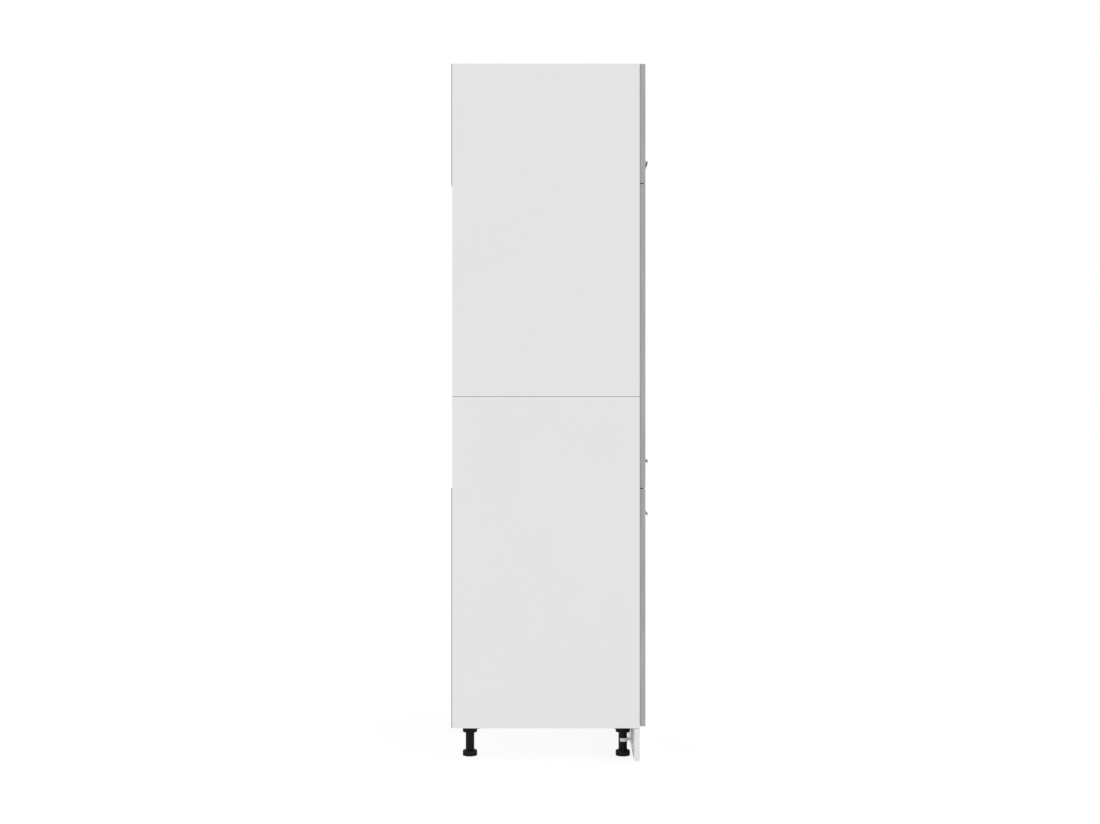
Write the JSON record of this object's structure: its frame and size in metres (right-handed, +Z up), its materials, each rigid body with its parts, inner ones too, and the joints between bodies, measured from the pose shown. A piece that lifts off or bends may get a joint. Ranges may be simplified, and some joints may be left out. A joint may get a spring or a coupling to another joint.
{
  "type": "fridge housing unit",
  "caption": "Tall kitchen housing with hinged fronts, an open-backed niche for a built-in fridge between two cupboards, a clip-on plinth and adjustable feet.",
  "frame": {"origin": "on the floor, under the middle of the unit's width and of its full depth from the handles to the backs", "axes": "+Z up; the doors face -Y; +X to the right, seen from the front"},
  "size_m": [0.6, 0.589, 2.07],
  "materials": {
    "carcass_board": "pale melamine-faced chipboard",
    "front_board": "grey decor board with a faint grain and banded edges",
    "hardboard": "thin hardboard, painted pale",
    "handle_metal": "brushed, satin",
    "plated_steel": "nickel plated",
    "zinc": "die cast",
    "black_plastic": "moulded, fine texture",
    "grey_plastic": "moulded",
    "pale_plastic": "moulded",
    "beech": "turned, fluted",
    "bumper": "soft, clear"
  },
  "bodies": {
    "carcass": {"side_left_lower": "carcass_board", "side_left_upper": "carcass_board", "side_right_lower": "carcass_board", "side_right_upper": "carcass_board", "bottom_board": "carcass_board", "fridge_shelf": "carcass_board", "top_cupboard_floor": "carcass_board", "top_board": "carcass_board", "lower_back": "hardboard", "upper_back": "hardboard", "loose_shelf": "carcass_board", "shelf_pins": "plated_steel", "dowels": "beech", "cam_locks": "zinc", "cam_bolts": "plated_steel", "joining_plates": "plated_steel", "joining_plate_screws": "plated_steel", "hinge_plates": "plated_steel", "hinge_arms": "plated_steel", "hinge_plate_screws": "plated_steel", "hinge_arm_screws": "plated_steel", "leg_sockets": "black_plastic", "leg_tubes": "black_plastic", "leg_screws": "plated_steel"},
    "lower_door": {"lower_door_panel": "front_board", "lower_door_handle": "handle_metal", "lower_door_handle_screws": "plated_steel", "lower_door_hinge_cups": "plated_steel", "lower_door_hinge_pins": "plated_steel", "lower_door_cup_screws": "plated_steel", "lower_door_bumpers": "bumper"},
    "middle_door": {"middle_door_panel": "front_board", "middle_door_handle": "handle_metal", "middle_door_handle_screws": "plated_steel", "middle_door_hinge_cups": "plated_steel", "middle_door_hinge_pins": "plated_steel", "middle_door_cup_screws": "plated_steel", "middle_door_bumpers": "bumper"},
    "top_door": {"top_door_panel": "front_board", "top_door_handle": "handle_metal", "top_door_handle_screws": "plated_steel", "top_door_hinge_cups": "plated_steel", "top_door_hinge_pins": "plated_steel", "top_door_cup_screws": "plated_steel", "top_door_bumpers": "bumper"},
    "plinth": {"plinth_board": "carcass_board", "plinth_brackets": "grey_plastic", "plinth_clips": "pale_plastic", "plinth_screws": "plated_steel"},
    "foot_front_left": {"foot_front_left": "black_plastic"},
    "foot_front_right": {"foot_front_right": "black_plastic"},
    "foot_rear_left": {"foot_rear_left": "black_plastic"},
    "foot_rear_right": {"foot_rear_right": "black_plastic"}
  },
  "joints": [
    {"name": "lower_door_hinge", "type": "hinge", "parent": "carcass", "child": "lower_door", "pos_m": [0.2923, -0.2755, 0.4575], "axis": [0, 0, 1], "range_deg": [0, 95]},
    {"name": "middle_door_hinge", "type": "hinge", "parent": "carcass", "child": "middle_door", "pos_m": [0.2923, -0.2755, 1.263], "axis": [0, 0, 1], "range_deg": [0, 95]},
    {"name": "top_door_hinge", "type": "hinge", "parent": "carcass", "child": "top_door", "pos_m": [0.2923, -0.2755, 1.893], "axis": [0, 0, 1], "range_deg": [0, 95]},
    {"name": "plinth_pull", "type": "slide", "parent": "carcass", "child": "plinth", "axis": [0, -1, 0], "range_m": [0, 0.1], "deforming": ["plinth_clips"]},
    {"name": "foot_front_left_screw", "type": "slide", "parent": "carcass", "child": "foot_front_left", "axis": [0, 0, -1], "range_m": [0, 0.025]},
    {"name": "foot_front_right_screw", "type": "slide", "parent": "carcass", "child": "foot_front_right", "axis": [0, 0, -1], "range_m": [0, 0.025]},
    {"name": "foot_rear_left_screw", "type": "slide", "parent": "carcass", "child": "foot_rear_left", "axis": [0, 0, -1], "range_m": [0, 0.025]},
    {"name": "foot_rear_right_screw", "type": "slide", "parent": "carcass", "child": "foot_rear_right", "axis": [0, 0, -1], "range_m": [0, 0.025]}
  ]
}
